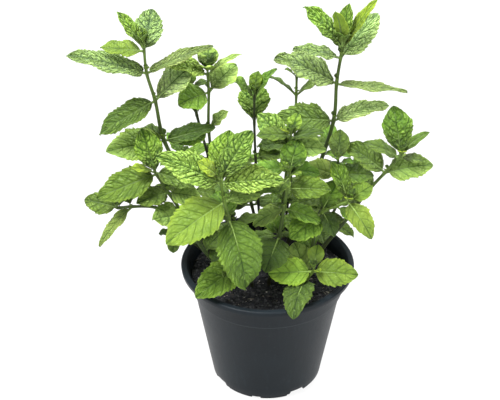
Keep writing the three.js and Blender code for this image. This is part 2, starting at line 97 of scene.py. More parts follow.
class Finish:
    """A procedural material that is built up node by node."""

    def __init__(self, name):
        self.material = bpy.data.materials.new(name)
        self.material.use_nodes = True
        self.tree = self.material.node_tree
        self.tree.nodes.clear()

    def node(self, kind, settings=None, sockets=None):
        """Adds a node and returns its outputs. Settings are set first, and a ramp's stops with them."""
        node = self.tree.nodes.new(kind)
        for name, value in (settings or {}).items():
            if name == "stops":
                ramp = node.color_ramp.elements
                while len(ramp) < len(value):
                    ramp.new(0.5)
                for stop, (place, colour) in zip(ramp, value):
                    stop.position, stop.color = place, (*colour, 1)
            else:
                setattr(node, name, value)
        for name, value in (sockets or {}).items():
            if isinstance(value, Wire):
                self.tree.links.new(value.socket, node.inputs[name])
            elif node.inputs[name].type == "RGBA":
                node.inputs[name].default_value = (*value, 1)
            else:
                node.inputs[name].default_value = value
        return [Wire(self, socket) for socket in node.outputs if socket.enabled]

    def math(self, operation, *values):
        return self.node("ShaderNodeMath", {"operation": operation}, dict(enumerate(values)))[0]

    def spread(self, value, low, high, to_low=0, to_high=1):
        """A number moved smoothly from the range of low and high to another."""
        settings = {"interpolation_type": "SMOOTHSTEP"}
        sockets = dict(enumerate([value, low, high, to_low, to_high]))
        return self.node("ShaderNodeMapRange", settings, sockets)[0]

    def blend(self, share, first, second, how="MIX"):
        """Two colours mixed by a share."""
        settings = {"data_type": "RGBA", "blend_type": how, "clamp_factor": True}
        return self.node("ShaderNodeMix", settings, {0: share, 6: first, 7: second})[0]

    def noise(self, place, scale, detail=2, rough=0.5):
        """Soft random spots. The higher the scale, the smaller they are."""
        sockets = {"Vector": place, "Scale": scale, "Detail": detail, "Roughness": rough}
        return self.node("ShaderNodeTexNoise", {}, sockets)[0]

    def stretched(self, place, scale):
        """Coordinates scaled apart along their three axes."""
        return self.node("ShaderNodeVectorMath", {"operation": "MULTIPLY"}, {0: place, 1: scale})[0]

    def bump(self, height, distance):
        """Bumps in the light of a height from 0 to 1, as high as a distance in metres."""
        return self.node("ShaderNodeBump", {}, {"Height": height, "Distance": distance})[0]

    def stored(self, name):
        """What a mesh stores under a name, as a colour, a vector, a number and an alpha."""
        return self.node("ShaderNodeAttribute", {"attribute_name": name})

    def surface(self, colour, roughness, gloss, more):
        """The skin of the thing: its colour, roughness, gloss, and more sockets by name."""
        sockets = {"Base Color": colour, "Roughness": roughness, "Specular IOR Level": gloss}
        return self.node("ShaderNodeBsdfPrincipled", {}, sockets | more)[0]

    def show(self, shader):
        self.node("ShaderNodeOutputMaterial", {}, {"Surface": shader})
        return self.material


def paint(red, green, blue):
    """A colour from its screen values as light."""
    return tuple(((c / 255 + 0.055) / 1.055) ** 2.4 for c in (red, green, blue))


def moulded_plastic():
    """Dark clouds and streaks, a painted highlight along the collar's edge, specks of dust and a fine grain.
    """
    finish = Finish("moulded_polypropylene")
    place = finish.node("ShaderNodeTexCoord")[3]
    clouds = finish.noise(place, scale=38, detail=3)
    streaks = finish.noise(finish.stretched(place, (1, 1, 0.06)), scale=420)
    colour = finish.blend(clouds, paint(20, 25, 29), paint(29, 36, 41))
    colour = finish.blend(finish.spread(streaks, 0.5, 0.8, 0, 0.3), colour, paint(34, 43, 49))
    height = finish.node("ShaderNodeSeparateXYZ", {}, {0: place})[2]
    # A thin pale band round the collar's step is a painted highlight, where its edge would catch the light.
    edge_highlight = finish.spread(abs(height - COLLAR_FOOT * MM), 0.0002, 0.0008, 0.5, 0)
    colour = finish.blend(edge_highlight, colour, paint(66, 72, 74))
    dust = finish.spread(finish.noise(place, scale=900), 0.68, 0.8, 0, 0.5)
    colour = finish.blend(dust, colour, paint(80, 82, 78))
    grain = finish.noise(place, scale=2600)
    roughness = 0.33 + clouds * 0.13 + dust * 0.3
    bumps = finish.bump(grain + streaks * 0.6, distance=0.06 * MM)
    return finish.show(finish.surface(colour, roughness, 0.11, {"Normal": bumps}))


def select(*pieces):
    """Selects these pieces and nothing else. The first one becomes the active one."""
    bpy.ops.object.select_all(action="DESELECT")
    for piece in pieces:
        piece.select_set(True)
    if pieces:
        bpy.context.view_layer.objects.active = pieces[0]


def put(name, data):
    """An object in the scene that shows a mesh, curve or lamp."""
    piece = bpy.data.objects.new(name, data)
    bpy.context.collection.objects.link(piece)
    return piece


def smooth(piece, below):
    """Shades a piece smooth, but for the edges that turn by more than so many degrees."""
    select(piece)
    bpy.ops.object.shade_smooth_by_angle(angle=math.radians(below))


def turn_up(piece, outline):
    """Carries the top face of a round piece along an outline of (radius, height), ring by ring."""
    bpy.ops.object.mode_set(mode="EDIT")
    bpy.ops.mesh.select_all(action="DESELECT")
    shape = bmesh.from_edit_mesh(piece.data)
    shape.faces.ensure_lookup_table()
    facing_up = [face for face in shape.faces if face.normal.z > FACES_UP]
    max(facing_up, key=lambda face: face.calc_center_median().z).select_set(True)
    bmesh.update_edit_mesh(piece.data)
    (radius, height), *rest = outline
    for next_radius, next_height in rest:
        bpy.ops.mesh.extrude_region_move(
            TRANSFORM_OT_translate={"value": (0, 0, (next_height - height) * MM)}
        )
        bpy.ops.transform.resize(value=(next_radius / radius, next_radius / radius, 1))
        radius, height = next_radius, next_height


def finish_with(piece, kind, **settings):
    """Adds a modifier and applies it."""
    bpy.context.view_layer.objects.active = piece
    modifier = piece.modifiers.new(kind.lower(), kind)
    for name, value in settings.items():
        setattr(modifier, name, value)
    bpy.ops.object.modifier_apply(modifier=modifier.name)


select()
bpy.ops.mesh.primitive_cylinder_add(
    vertices=POT_SIDES, radius=BASE_RADIUS * MM, depth=FLOOR * MM, location=(0, 0, FLOOR * MM / 2)
)
pot = bpy.context.object
pot.name = "nursery_pot"
bpy.ops.object.transform_apply()
UNDER_RIM = POT_HEIGHT - RIM_DEPTH
turn_up(
    pot,
    [
        (BASE_RADIUS, FLOOR),
        (BASE_RADIUS + DRAIN_FLARE, FLOOR + 1),
        (BODY_FOOT_RADIUS, BODY_FOOT),
        (BODY_TOP_RADIUS, COLLAR_FOOT - EDGE),
        (COLLAR_FOOT_RADIUS, COLLAR_FOOT),
        (COLLAR_TOP_RADIUS, UNDER_RIM),
        (RIM_RADIUS - EDGE / 2, UNDER_RIM),
        (RIM_RADIUS, POT_HEIGHT - EDGE),
        (RIM_RADIUS - EDGE, POT_HEIGHT),
        (RIM_INSIDE + EDGE, POT_HEIGHT),
        (RIM_INSIDE, POT_HEIGHT - EDGE),
        (COLLAR_TOP_RADIUS - WALL, UNDER_RIM - EDGE),
        (COLLAR_FOOT_RADIUS - WALL, COLLAR_FOOT),
        (BODY_TOP_RADIUS - WALL, COLLAR_FOOT - 2 * EDGE),
        (BODY_FOOT_RADIUS - WALL, BODY_FOOT),
        (BASE_RADIUS - EDGE, FLOOR),
    ],
)
bpy.ops.object.mode_set(mode="OBJECT")

# The notches are cut by one tapered block that is copied round the foot, wide and small by turns.
select()
notch_length = RIM_RADIUS - DRAIN_INSIDE
bpy.ops.mesh.primitive_cube_add(size=1)
notch = bpy.context.object
notch.location = (0, -(DRAIN_INSIDE + notch_length / 2) * MM, DRAIN_HEIGHT / 2 * MM)
notch.scale = (DRAIN_WIDTH * MM, notch_length * MM, (DRAIN_HEIGHT + 2 * EDGE) * MM)
notch.location.z -= EDGE * MM
bpy.ops.object.transform_apply()
bpy.ops.object.mode_set(mode="EDIT")
bpy.ops.mesh.select_all(action="DESELECT")
shape = bmesh.from_edit_mesh(notch.data)
for face in shape.faces:
    face.select_set(face.normal.z > FACES_UP)
bmesh.update_edit_mesh(notch.data)
bpy.ops.transform.resize(value=(1 - 2 * DRAIN_SLOPE / DRAIN_WIDTH, 1, 1))
bpy.ops.object.mode_set(mode="OBJECT")
notches = []
for index in range(DRAINS):
    copy = put("notch", notch.data.copy())
    size = 1 if index % 2 == 1 else SMALL_DRAIN
    copy.data.transform(Matrix.Diagonal((size, 1, size, 1)))
    copy.data.transform(Matrix.Rotation(math.radians(DRAIN_TURN + index * 360 / DRAINS), 4, "Z"))
    notches.append(copy)
bpy.data.objects.remove(notch)
select(*notches)
bpy.ops.object.join()
cutter = notches[0]
finish_with(pot, "BOOLEAN", object=cutter, operation="DIFFERENCE", solver="EXACT")
bpy.data.objects.remove(cutter)
finish_with(pot, "BEVEL", width=CORNER * MM, segments=2, limit_method="ANGLE", angle_limit=ROUNDED_OVER)
smooth(pot, below=34)
pot.data.materials.clear()
pot.data.materials.append(moulded_plastic())
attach(pot, "root")
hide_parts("pot")

# The potting soil: damp dark compost filled to a centimetre under the rim. Its top is uneven and covered
# with crumbs, bark fibres and a few white perlite grains.
GAP = 0.3
SOIL_TOP = 90
SOIL_RELIEF = 1.1
SOIL_FOOT_RADIUS = BASE_RADIUS - 3
SOIL_DISC = 1
FOOT_EASE = 0.5
COLLAR_FLARE = 1.4
SOIL_RINGS = 74
SOIL_SIDES = 220
LUMP_HEIGHT = 1.1
PIT_DEPTH = 1.2
PIT_FILL = 0.3
STREWN_RADIUS = 56.5
STREWN_LEAN = 0.7
soil_draw = np.random.default_rng(11)


def crumble(x, y):
    """Height of the crumbly soil over its mean level, in millimetres."""
    hummocks = np.sin(x * 0.21 + 1.3) * np.cos(y * 0.17) + 0.7 * np.sin(x * 0.11 - y * 0.26)
    clods = 0.5 * np.sin(x * 0.6 + y * 0.35) * np.sin(y * 0.55 - 0.8)
    return SOIL_RELIEF * (hummocks + clods)


def rough(x, y):
    """The soil's level with its lumps and pits."""
    lumps = noise.fractal(Vector((x * 0.3, y * 0.3, 0.0)), 0.9, 2.2, 4) * LUMP_HEIGHT
    pits = abs(noise.noise(Vector((x * 0.85, y * 0.85, 5.0)))) * PIT_DEPTH
    return crumble(x, y) + lumps - pits + PIT_FILL


def compost():
    """Damp dark clods with paler flecks."""
    finish = Finish("potting_compost")
    place = finish.node("ShaderNodeTexCoord")[3]
    clods = finish.noise(place, scale=260, detail=5, rough=0.65)
    specks = finish.noise(place, scale=1500)
    stops = [
        (0.3, paint(17, 18, 21)),
        (0.5, paint(29, 31, 35)),
        (0.66, paint(44, 43, 42)),
        (0.8, paint(78, 74, 68)),
    ]
    colour = finish.node("ShaderNodeValToRGB", {"stops": stops}, {0: clods})[0]
    colour = finish.blend(finish.spread(specks, 0.66, 0.74, 0, 0.8), colour, paint(136, 134, 126))
    roughness = 0.8 + specks * 0.2
    bumps = finish.bump(clods + specks * 0.5, distance=0.6 * MM)
    return finish.show(finish.surface(colour, roughness, 0.3, {"Normal": bumps}))


def grainy(name, dark, pale, scale):
    """A dull finish whose grains each have their own shade."""
    finish = Finish(name)
    place = finish.node("ShaderNodeTexCoord")[3]
    own = finish.stored("grain")[2]
    colour = finish.blend(own, paint(*dark), paint(*pale))
    spots = finish.noise(place, scale, detail=3)
    colour = finish.blend(finish.spread(spots, 0.4, 0.7, 0, 0.45), colour, paint(*dark))
    roughness = 0.72 + spots * 0.2
    bumps = finish.bump(spots, distance=0.3 * MM)
    return finish.show(finish.surface(colour, roughness, 0.3, {"Normal": bumps}))


def points_of(mesh):
    """The mesh's points, one in each row."""
    points = np.empty(len(mesh.vertices) * 3)
    mesh.vertices.foreach_get("co", points)
    return points.reshape(-1, 3)


def store(mesh, name, values):
    """Gives each point of a mesh a number or a colour, under a name that a finish reads."""
    if values.ndim == 1:
        mesh.attributes.new(name, "FLOAT", "POINT").data.foreach_set("value", values)
    else:
        mesh.color_attributes.new(name, "FLOAT_COLOR", "POINT").data.foreach_set("color", values.ravel())


def strewn(name, count, sizes, lengths, sunk, material):
    """Small irregular grains that lie on the soil. The shape of one is modelled once and copied."""
    select()
    bpy.ops.mesh.primitive_ico_sphere_add(subdivisions=1, radius=1)
    pattern = bpy.context.object
    corners = points_of(pattern.data)
    faces = np.array([list(f.vertices) for f in pattern.data.polygons])
    bpy.data.objects.remove(pattern)
    points, sides, shades = [], [], []
    for index in range(count):
        radius = STREWN_RADIUS * math.sqrt(soil_draw.random())
        turn = soil_draw.random() * math.tau
        x, y = radius * math.cos(turn), radius * math.sin(turn)
        size = sizes[0] + (sizes[1] - sizes[0]) * soil_draw.random() ** 2
        length = size * (lengths[0] + (lengths[1] - lengths[0]) * soil_draw.random())
        lumpy = corners * (0.75 + 0.5 * soil_draw.random((len(corners), 1)))
        lumpy = lumpy * [length / 2, size / 2, size * (0.3 + 0.25 * soil_draw.random())]
        spin = Matrix.Rotation(soil_draw.random() * math.tau, 3, "Z")
        lean = Matrix.Rotation((soil_draw.random() - 0.5) * STREWN_LEAN, 3, "Y")
        lumpy = lumpy @ np.array(spin @ lean).T
        points.append(lumpy + [x, y, SOIL_TOP + rough(x, y) + size * sunk])
        sides.append(faces + index * len(corners))
        shades.append(np.full(len(corners), soil_draw.random()))
    mesh = bpy.data.meshes.new(name)
    mesh.from_pydata((np.concatenate(points) * MM).tolist(), [], np.concatenate(sides).tolist())
    store(mesh, "grain", np.concatenate(shades))
    mesh.materials.append(material)
    piece = put(name, mesh)
    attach(piece, "root")


select()
soil_reach = COLLAR_FOOT_RADIUS - WALL - GAP + COLLAR_FLARE
bpy.ops.mesh.primitive_cylinder_add(
    vertices=SOIL_SIDES,
    radius=SOIL_FOOT_RADIUS * MM,
    depth=SOIL_DISC * MM,
    location=(0, 0, (FLOOR + GAP + SOIL_DISC / 2) * MM),
)
soil = bpy.context.object
soil.name = "potting_compost"
bpy.ops.object.transform_apply()
top_rings = [(soil_reach * (1 - ring / SOIL_RINGS), SOIL_TOP) for ring in range(SOIL_RINGS)]
turn_up(
    soil,
    [
        (SOIL_FOOT_RADIUS, FLOOR + GAP + SOIL_DISC),
        (BODY_FOOT_RADIUS - WALL - GAP - FOOT_EASE, BODY_FOOT),
        (BODY_TOP_RADIUS - WALL - GAP, COLLAR_FOOT - 2 * EDGE),
        *top_rings,
    ],
)
bpy.ops.mesh.merge(type="CENTER")
bpy.ops.object.mode_set(mode="OBJECT")
for vertex in soil.data.vertices:
    if vertex.co.z > (SOIL_TOP - 1) * MM:
        vertex.co.z += rough(vertex.co.x / MM, vertex.co.y / MM) * MM
smooth(soil, below=60)
soil.data.materials.append(compost())
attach(soil, "root")
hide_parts("potting_soil")
crumb = grainy("crumbs", dark=(19, 20, 23), pale=(74, 75, 76), scale=700)
strewn("soil_crumbs", count=2600, sizes=(0.7, 2.6), lengths=(1, 1.5), sunk=0.1, material=crumb)
bark = grainy("bark", dark=(38, 34, 32), pale=(140, 134, 122), scale=900)
strewn("bark_fibres", count=190, sizes=(0.5, 1.2), lengths=(3, 8), sunk=0.3, material=bark)
perlite = grainy("perlite", dark=(104, 98, 86), pale=(214, 210, 200), scale=1200)
strewn("perlite", count=75, sizes=(0.6, 1.5), lengths=(1, 1.3), sunk=0.25, material=perlite)

# The mint shoots: square stems that run from green tips to purple-brown feet, with toothed, quilted leaves
# in facing pairs and small buds in their corners. Each leaf takes the small turn that its solid took to
# clear its neighbours.
ROOT_DEPTH = 20
STEM_TOP = 1.8
COLLAR = 3
TIP_BUD = 2
STALK_LENGTH = 2.8
SLIM = 0.56
ARCH = 0.05
FOLD = 16
TAPER = 0.88
GROWN_BASE = 0.55
YOUNG_BASE = 1
YOUNG_PITCH = 33
PAIR_RISE = 1.8
LARGE = 40
MIDDLE = 29
SMALL = 20
FIRST_TOOTH = {LARGE: 0.25, MIDDLE: 0.28, 0: 0.34}
TOOTH_OUT = 1.03
BLADE_THICKNESS = 0.34
STEM_STEP = 2.2
CURVE_FROM = 2
FOOT_SHARE = 0.05
END_SHARE = 1.3

# How a leaf looks: its upper colour, how deeply it is quilted and how strong the painted highlight on the
# quilting's crests is.
LOOKS = {
    "lemon": ((157, 184, 45), 0.5, 0.35),
    "bud": ((111, 143, 28), 0.7, 0.4),
    "butter": ((180, 214, 110), 0.6, 0.5),
    "lime": ((128, 158, 48), 0.25, 0.35),
    "apple": ((160, 198, 64), 0.4, 0.4),
    "crisp": ((150, 183, 80), 1.0, 0.75),
    "vivid": ((130, 170, 50), 0.9, 0.65),
    "emerald": ((112, 152, 40), 0.75, 0.35),
    "bottle": ((95, 133, 31), 0.75, 0.35),
    "frost": ((198, 224, 150), 0.8, 0.6),
    "silver": ((133, 158, 104), 0.8, 0.7),
    "mist": ((127, 150, 86), 0.6, 0.6),
    "sage": ((110, 150, 48), 0.9, 0.8),
    "leek": ((148, 176, 82), 0.45, 0.4),
    "fresh": ((101, 131, 39), 0.4, 0.35),
    "grass": ((94, 125, 28), 0.35, 0.35),
    "meadow": ((118, 160, 48), 0.5, 0.35),
    "moss": ((98, 126, 44), 0.55, 0.3),
    "shade": ((76, 105, 30), 0.45, 0.2),
}


def leaf(heading, pitch, length, width=None, look="moss", roll=0, bow=None):
    """A leaf by its bearing, rise, length, width, look, the lift of its right edge and its arch."""
    width = SLIM * length if width is None else width
    bow = ARCH * length if bow is None else bow
    return dict(heading=heading, pitch=pitch, length=length, width=width, look=look, roll=roll, bow=bow)


def pair(heading, pitch, length, look="moss"):
    """The two plain leaves that face each other across a node deeper in the plant."""
    return [leaf(heading, pitch, length, look=look), leaf(heading + 180, pitch, length * 0.94, look=look)]


# Every shoot by its tone, the thickness of its stem's foot, and its nodes from the soil up. A node is its
# x, y and z and the leaves that grow there.
SHOOTS = {
    "front_centre": ("bright", 3.4, [
        (-12, -18, 90),
        (-20, -31, 118, leaf(218, -15, 42, 26, "meadow", 26, 2), *pair(60, 5, 24)),
        (-25, -37, 142, *pair(110, 0, 26)),
        (-28, -41, 164, leaf(298, -60, 51, 34, "grass", -6, 6), leaf(110, 10, 30, 20, "meadow")),
        (-31, -41, 178, leaf(208, -24, 50, 32, "lime", 30, 2), leaf(20, 5, 30, 18, "leek", -10)),
        (
            -33, -40, 192, leaf(180, 27, 49, 27, "crisp", 28, 1.5), leaf(354, 8, 44, 24, "crisp", -22, 1.5),
            leaf(72, 56, 36, 25, "vivid", -6, 1), leaf(22, 52, 42, 23, "sage", -16, 1.5),
            leaf(190, 46, 22, 14, "lemon", 28),
        ),
    ]),
    "left_tall": ("green", 3.6, [
        (-25, 6, 90),
        (-40, 9, 124, *pair(80, 0, 30)),
        (-56, 11, 156, *pair(160, -8, 32)),
        (
            -75, 12, 197, leaf(6, 15, 38, 17, "shade", -20, 0), leaf(200, 0, 43, 28, "leek", 30, 0.5),
            leaf(152, -4, 28, 18, "moss", 10),
        ),
        (-80, 9, 231, leaf(25, 37, 37, 24, "frost", -22, 1), leaf(201, -23, 46, 22, "moss", 20, 0.5)),
        (-85, 8, 253, leaf(190, 19, 57, 24, "silver", 14, 0.5), leaf(10, 21, 50, 14, "mist", -12, 1)),
        (
            -86, 8, 270, leaf(186, 9, 30, 17, "lime", 16, -0.5), leaf(82, 32, 35, 22, "silver", -6, 0.5),
            leaf(163, 55, 31, 12, "vivid", 18, 0.5), leaf(120, 74, 15, 8, "bud"),
        ),
    ]),
    "right_tall": ("green", 3.6, [
        (14, 30, 90),
        (23, 28, 120, *pair(10, -5, 28)),
        (31, 25, 146, *pair(100, 5, 28)),
        (47, 20, 209, leaf(10, 13, 42, 18, "frost", -12, 2.5), leaf(192, 9, 44, 26, "moss", 30, 1)),
        (48, 18, 240, leaf(184, 27, 49, 30, "silver", 18, 1.5), leaf(354, -3, 50, 17, "mist", 4, -1)),
        (50, 16, 261, leaf(188, 15, 35, 19, "silver", 4, 0.5), leaf(44, 31, 44, 24, "frost", -18, 0.5)),
        (
            51, 16, 268, leaf(178, 49, 41, 21, "vivid", 20, 1), leaf(6, 59, 42, 12, "lemon", -14, 0.5),
            leaf(62, 76, 30, 12, "vivid"), leaf(238, 68, 33, 12, "lemon"),
        ),
    ]),
    "front_right_low": ("bright", 2.8, [
        (22, -26, 90),
        (28, -33, 106, leaf(253, -13, 38, 23, "shade", 4, 5), leaf(112, 40, 30, 21, "leek")),
        (
            32, -35, 115, leaf(182, -2, 32, 22, "apple", 42, 1), leaf(354, -1, 33, 22, "lime", -42, 1),
            leaf(76, 44, 19, 13, "lime"), leaf(300, 24, 9, 6, "lemon"),
        ),
    ]),
    "centre": ("bright", 3.2, [
        (1, -15, 90),
        (8, -22, 137, leaf(246, -30, 30, 26, "shade", 14, 1), leaf(110, 15, 26, 17, "meadow")),
        (11, -24, 162, leaf(352, -20, 28, 19, "meadow", -10), leaf(184, -32, 26, 18, "leek", 14)),
        (13, -25, 179, leaf(350, 5, 31, 20, "grass", -28, 1), leaf(200, 10, 24, 15, "fresh", 14)),
        (
            14, -25, 188, leaf(74, 50, 28, 20, "bottle", -8), leaf(246, -4, 18, 12, "fresh"),
            leaf(318, 34, 12, 8, "lime"), leaf(160, 50, 12, 8, "bud"),
        ),
    ]),
    "centre_back": ("green", 3.2, [
        (6, 4, 90),
        (8, 1, 122, *pair(10, 0, 26)),
        (11, -3, 154, *pair(90, 0, 26)),
        (13, -7, 184, leaf(352, -4, 24, 17, "meadow", -12), leaf(184, -2, 28, 18, "meadow", 12)),
        (15, -10, 203, leaf(350, 6, 26, 18, "leek", -24), leaf(152, 49, 34, 20, "crisp", 22, 1)),
        (
            15, -10, 211, leaf(62, 52, 19, 12, "vivid"), leaf(350, 18, 25, 11, "shade", -10),
            leaf(184, 4, 24, 15, "fresh", 14), leaf(214, 46, 12, 8, "lemon"),
        ),
    ]),
    "left_low": ("green", 3, [
        (-30, -4, 90),
        (-46, -6, 118, leaf(60, 5, 26, 17)),
        (-61, -8, 146, leaf(209, -4, 30, 24, "leek", 30, 1), leaf(30, 5, 26, 17)),
        (-72, -9, 166, leaf(208, -4, 25, 17, "moss", 26, 1), leaf(352, -6, 24, 18, "leek", -34)),
        (
            -80, -10, 182, leaf(190, -19, 46, 26, "fresh", 34, 0.3), leaf(128, 55, 34, 21, "vivid", 20),
            leaf(356, -20, 30, 18, "moss", -24), leaf(204, 30, 21, 11, "lemon", 12),
        ),
    ]),
    "left_trailing": ("green", 2.4, [
        (-28, -15, 90),
        (-46, -17, 120, leaf(84, 10, 22, 15)),
        (-62, -16, 143, *pair(120, -10, 22)),
        (-79, -13, 155, leaf(95, 25, 20, 14)),
        (-99, -9, 154, leaf(199, -48, 39, 13, "leek", 10, 1.5), leaf(118, 26, 15, 12, "meadow")),
        (-109, -6, 151, leaf(168, 9, 26, 18, "moss", 40, 1), leaf(70, 30, 14, 9, "meadow")),
    ]),
    "right_leaning": ("green", 3, [
        (28, 2, 90),
        (42, 2, 112, leaf(100, 0, 24, 15)),
        (58, 1, 137, leaf(200, 5, 26, 17)),
        (72, 0, 161, leaf(100, 0, 26, 16)),
        (84, -1, 178, leaf(158, 29, 36, 21, "moss", 18), leaf(2, 10, 35, 23, "leek", -28, 1.5)),
        (
            93, -2, 191, leaf(172, 23, 28, 14, "moss", 14), leaf(354, -6, 18, 12, "fresh", -8),
            leaf(108, 61, 36, 24, "emerald", 4), leaf(10, 42, 27, 8, "fresh", -10, 3),
            leaf(262, 40, 10, 7, "lemon"),
        ),
    ]),
    "right_middle": ("bright", 2.8, [
        (27, -12, 90),
        (32, -15, 120, leaf(110, 10, 26, 18, "meadow")),
        (
            38, -16, 153, leaf(216, -22, 30, 24, "meadow", 32, 1), leaf(58, 26, 28, 20, "meadow", -10),
            leaf(304, -46, 21, 16, "shade"),
        ),
        (49, -16, 159, leaf(334, -36, 20, 13, "meadow")),
        (
            57, -15, 162, leaf(304, -29, 33, 18, "lime", -12, 2), leaf(134, 58, 31, 17, "emerald"),
            leaf(30, 22, 20, 15, "lime", -24), leaf(240, 40, 10, 7, "lemon"),
        ),
    ]),
    "right_upright": ("deep", 2.8, [
        (24, 12, 90),
        (34, 10, 122, leaf(150, 0, 28, 20)),
        (43, 6, 152, leaf(10, -14, 26, 18, "moss", -10), leaf(196, -4, 28, 20, "moss", 10)),
        (49, 2, 174, leaf(4, -2, 28, 20, "fresh", -24), leaf(178, 18, 24, 18, "leek", 26)),
        (50, 1, 185, leaf(82, 58, 24, 16), leaf(8, 0, 12, 8, "meadow"), leaf(230, 40, 10, 7, "meadow")),
    ]),
    "back_left_tall": ("green", 2.8, [
        (-10, 15, 90),
        (-25, 17, 124, *pair(10, 0, 26)),
        (-38, 19, 160, *pair(100, 5, 28)),
        (-43, 20, 201, leaf(16, 44, 20, 13, "butter", -8), leaf(196, -18, 24, 18, "meadow", 24)),
        (-42.5, 20, 232, leaf(204, -12, 24, 23, "meadow", 30, 1), leaf(32, 34, 28, 24, "butter", -14)),
        (
            -43, 20, 246, leaf(196, 45, 32, 20, "crisp", 14), leaf(14, 30, 28, 8, "butter", -4),
            leaf(86, 60, 19, 16, "crisp"), leaf(262, 40, 16, 13, "crisp"),
        ),
    ]),
    "back_left_dark": ("deep", 2.2, [
        (-22, 25, 90),
        (-35, 29, 132, *pair(95, 5, 26)),
        (-44, 31, 172, *pair(190, -10, 26)),
        (-52, 31, 208, leaf(92, 34, 16, 11)),
        (-56, 31, 228, leaf(180, 10, 14, 10), leaf(20, 24, 14, 9), leaf(66, 60, 11, 8, "meadow")),
    ]),
    "back_centre_dark": ("green", 2.2, [
        (-4, 35, 90),
        (-7, 38, 130, *pair(0, 0, 26)),
        (-9, 40, 166, leaf(200, 0, 26, 18, "moss", 12), leaf(20, 0, 26, 18, "moss", -12)),
        (-10, 41, 196, leaf(92, 50, 30, 25, "crisp")),
        (
            -10, 41, 217, leaf(190, 44, 26, 16, "emerald", 10), leaf(4, 56, 28, 12, "emerald", -10),
            leaf(92, 66, 18, 12, "bud", 14),
        ),
    ]),
    "back_centre_pale": ("green", 2.2, [
        (13, 44, 90),
        (17, 48, 132, *pair(60, 0, 26)),
        (20, 50, 172, leaf(184, 0, 28, 20, "moss", 12), leaf(4, 2, 26, 18, "moss", -12)),
        (21, 51, 214, leaf(187, 39, 26, 11, "fresh", -6), leaf(352, 36, 27, 13, "fresh", -8)),
        (
            21, 51, 229, leaf(200, 62, 12, 8, "fresh"), leaf(20, 40, 14, 9, "fresh"),
            leaf(110, 64, 13, 8, "lemon"),
        ),
    ]),
    "left_short": ("deep", 2, [
        (-38, 6, 90),
        (-50, 5, 108, leaf(70, 10, 22, 15)),
        (-69, -1, 126, leaf(262, -56, 15, 10), leaf(176, 8, 12, 10), leaf(80, 20, 16, 11)),
    ]),
    "front_short": ("deep", 2, [
        (-27, -26, 90),
        (-31, -27, 104, leaf(124, 32, 26, 16, "shade", 10), leaf(300, 4, 14, 10, "shade")),
    ]),
    "rear_left": ("deep", 2.8, [
        (-30, 38, 90),
        (-42, 47, 116, *pair(30, 0, 28)),
        (-54, 56, 138, *pair(125, 0, 30)),
        (
            -63, 62, 152, *pair(40, 12, 26, "meadow"), leaf(140, 44, 24, look="meadow"),
            leaf(310, 50, 16, look="lemon"),
        ),
    ]),
    "rear_centre": ("deep", 2.8, [
        (-6, 47, 90),
        (-12, 61, 112, *pair(10, -6, 28)),
        (-18, 72, 130, *pair(95, -4, 30)),
        (
            -22, 78, 140, *pair(5, 6, 26, "meadow"), leaf(100, 24, 20, look="meadow"),
            leaf(280, 50, 14, look="lemon"),
        ),
    ]),
    "rear_right": ("deep", 2.8, [
        (19, 44, 90),
        (29, 57, 113, *pair(150, -6, 28)),
        (38, 70, 134, *pair(60, -4, 30)),
        (
            44, 78, 148, *pair(150, 12, 26, "meadow"), leaf(64, 44, 24, look="meadow"),
            leaf(250, 54, 16, look="lemon"),
        ),
    ]),
    "side_right": ("deep", 2.6, [
        (38, 32, 90),
        (48, 42, 108, *pair(140, -8, 26)),
        (58, 52, 126, *pair(50, -4, 26)),
        (
            66, 60, 138, *pair(140, 14, 22, "meadow"), leaf(50, 42, 22, look="meadow"),
            leaf(230, 52, 15, look="lemon"),
        ),
    ]),
}


